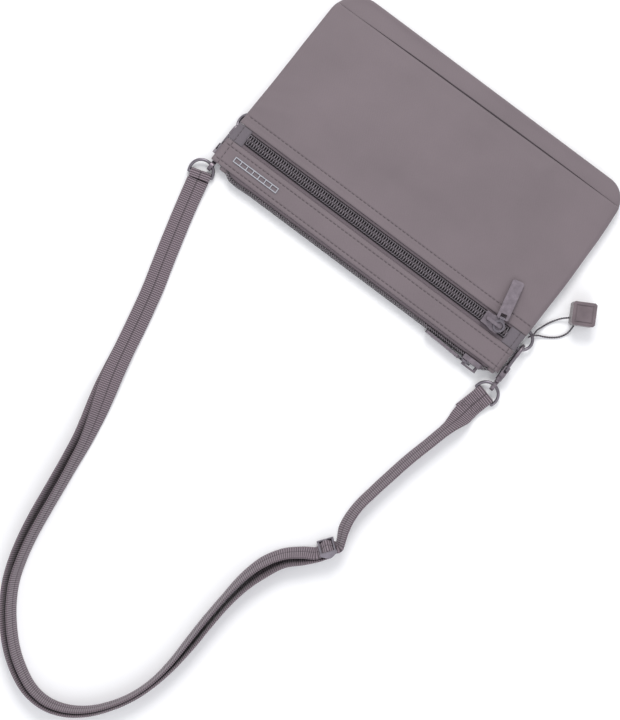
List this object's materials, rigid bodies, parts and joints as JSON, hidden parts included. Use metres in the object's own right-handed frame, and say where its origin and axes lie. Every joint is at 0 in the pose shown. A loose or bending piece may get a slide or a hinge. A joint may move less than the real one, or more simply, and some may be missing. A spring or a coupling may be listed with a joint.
{
  "type": "neck pouch wallet",
  "caption": "Flat two-compartment zip pouch lying on its back, with a clip-on adjustable webbing strap and a cube charm on a cord.",
  "frame": {"origin": "middle of the back panel's flat face, which the pouch lies on", "axes": "+X to the right as seen from the front, +Y towards the top zip, +Z out of the front"},
  "size_m": [0.2521, 0.4593, 0.0163],
  "materials": {
    "nylon": "smooth matte twill nylon",
    "lining": "thin plain-weave polyester",
    "zip_tape": "woven zip tape",
    "zip_coil": "satin nylon coil",
    "webbing": "ribbed webbing with a centre groove",
    "hardware": "satin lacquered zinc",
    "pin_steel": "plain steel",
    "badge": "polished bar",
    "charm": "satin rubber-coated",
    "cord": "twisted cord"
  },
  "bodies": {
    "pouch": {"back_panel": "nylon", "front_base_panel": "nylon", "front_panel": "nylon", "top_strip": "nylon", "main_lining": "lining", "pocket_lining": "lining", "zip_patch_left": "nylon", "zip_patch_right": "nylon", "front_zip_tape_upper": "zip_tape", "front_zip_tape_lower": "zip_tape", "front_zip_coil_upper": "zip_coil", "front_zip_coil_lower": "zip_coil", "top_zip_tape_front": "zip_tape", "top_zip_tape_back": "zip_tape", "top_zip_coil_front": "zip_coil", "top_zip_coil_back": "zip_coil", "badge_bar": "badge", "side_tab_left": "nylon", "side_tab_right": "nylon", "swivel_eye_left": "hardware", "swivel_eye_right": "hardware", "webbing_single": "webbing", "webbing_inner": "webbing", "webbing_outer": "webbing", "webbing_fold_left": "webbing", "webbing_fold_right": "webbing", "webbing_fold_glide": "webbing", "tri_glide": "hardware"},
    "front_slider": {"front_slider": "hardware"},
    "front_pull_ring": {"front_pull_ring": "hardware"},
    "front_pull_tab": {"front_pull_tab": "hardware"},
    "top_slider": {"top_slider": "hardware"},
    "top_pull_ring": {"top_pull_ring": "hardware"},
    "top_pull_tab": {"top_pull_tab": "hardware"},
    "side_ring_left": {"side_ring_left": "hardware"},
    "side_ring_right": {"side_ring_right": "hardware"},
    "hook_left": {"hook_body_left": "hardware", "gate_pin_left": "pin_steel", "gate_spring_left": "pin_steel"},
    "hook_right": {"hook_body_right": "hardware", "gate_pin_right": "pin_steel", "gate_spring_right": "pin_steel"},
    "gate_left": {"hook_gate_left": "hardware"},
    "gate_right": {"hook_gate_right": "hardware"},
    "strap_ring_left": {"strap_ring_left": "hardware"},
    "strap_ring_right": {"strap_ring_right": "hardware"},
    "charm": {"charm_cord": "cord", "charm_cube": "charm"}
  },
  "joints": [
    {"name": "front_slider_slide", "type": "slide", "parent": "pouch", "child": "front_slider", "axis": [1, 0, 0], "range_m": [0, 0.174]},
    {"name": "front_ring_swing", "type": "hinge", "parent": "front_slider", "child": "front_pull_ring", "pos_m": [-0.0898, 0.0426, 0.01235], "axis": [0, 0, 1], "range_deg": [-70, 12]},
    {"name": "front_tab_lift", "type": "hinge", "parent": "front_pull_ring", "child": "front_pull_tab", "pos_m": [-0.08872, 0.03751, 0.01235], "axis": [-0.9781, -0.2079, 0], "range_deg": [0, 115]},
    {"name": "top_slider_slide", "type": "slide", "parent": "pouch", "child": "top_slider", "axis": [1, 0, 0], "range_m": [0, 0.152]},
    {"name": "top_ring_swing", "type": "hinge", "parent": "top_slider", "child": "top_pull_ring", "pos_m": [-0.0864, 0.07135, 0.00495], "axis": [0, -1, 0], "range_deg": [0, 80]},
    {"name": "top_tab_lift", "type": "hinge", "parent": "top_pull_ring", "child": "top_pull_tab", "pos_m": [-0.0812, 0.07135, 0.00495], "axis": [0, 0, 1], "range_deg": [0, 115]},
    {"name": "side_ring_left_tilt", "type": "hinge", "parent": "pouch", "child": "side_ring_left", "pos_m": [-0.105, 0.04, 0.005], "axis": [0, 1, 0], "range_deg": [-1.2, 2]},
    {"name": "side_ring_right_tilt", "type": "hinge", "parent": "pouch", "child": "side_ring_right", "pos_m": [0.1019, 0.0354, 0.0052], "axis": [0, 1, 0], "range_deg": [-4, 4]},
    {"name": "hook_left_swivel", "type": "hinge", "parent": "pouch", "child": "hook_left", "pos_m": [-0.1092, 0.0665, 0.005], "axis": [0, 1, 0], "range_deg": [-10, 10]},
    {"name": "hook_right_swivel", "type": "hinge", "parent": "pouch", "child": "hook_right", "pos_m": [0.10527, 0.06228, 0.00415], "axis": [0.0436, 0.999, 0], "range_deg": [0, 2]},
    {"name": "gate_left_open", "type": "hinge", "parent": "hook_left", "child": "gate_left", "pos_m": [-0.1092, 0.0605, 0.0082], "axis": [1, 0, 0], "range_deg": [0, 25], "stiffness_Nm_per_rad": 0.004, "springref_deg": -20.05},
    {"name": "gate_right_open", "type": "hinge", "parent": "hook_right", "child": "gate_right", "pos_m": [0.10778, 0.05617, 0.00575], "axis": [0.4995, -0.0218, -0.866], "range_deg": [0, 25], "stiffness_Nm_per_rad": 0.004, "springref_deg": -20.05},
    {"name": "strap_ring_left_tilt", "type": "hinge", "parent": "pouch", "child": "strap_ring_left", "pos_m": [-0.1082, 0.0805, 0.0025], "axis": [0.9668, -0.2554, 0], "range_deg": [-2, 2]},
    {"name": "strap_ring_right_tilt", "type": "hinge", "parent": "pouch", "child": "strap_ring_right", "pos_m": [0.108, 0.0762, 0.0025], "axis": [0.9578, 0.2874, 0], "range_deg": [-1.5, 1.5]},
    {"name": "charm_swing", "type": "hinge", "parent": "pouch", "child": "charm", "pos_m": [-0.1098, 0.0348, 0.005], "axis": [0, 0, 1], "range_deg": [-20, 8]}
  ]
}
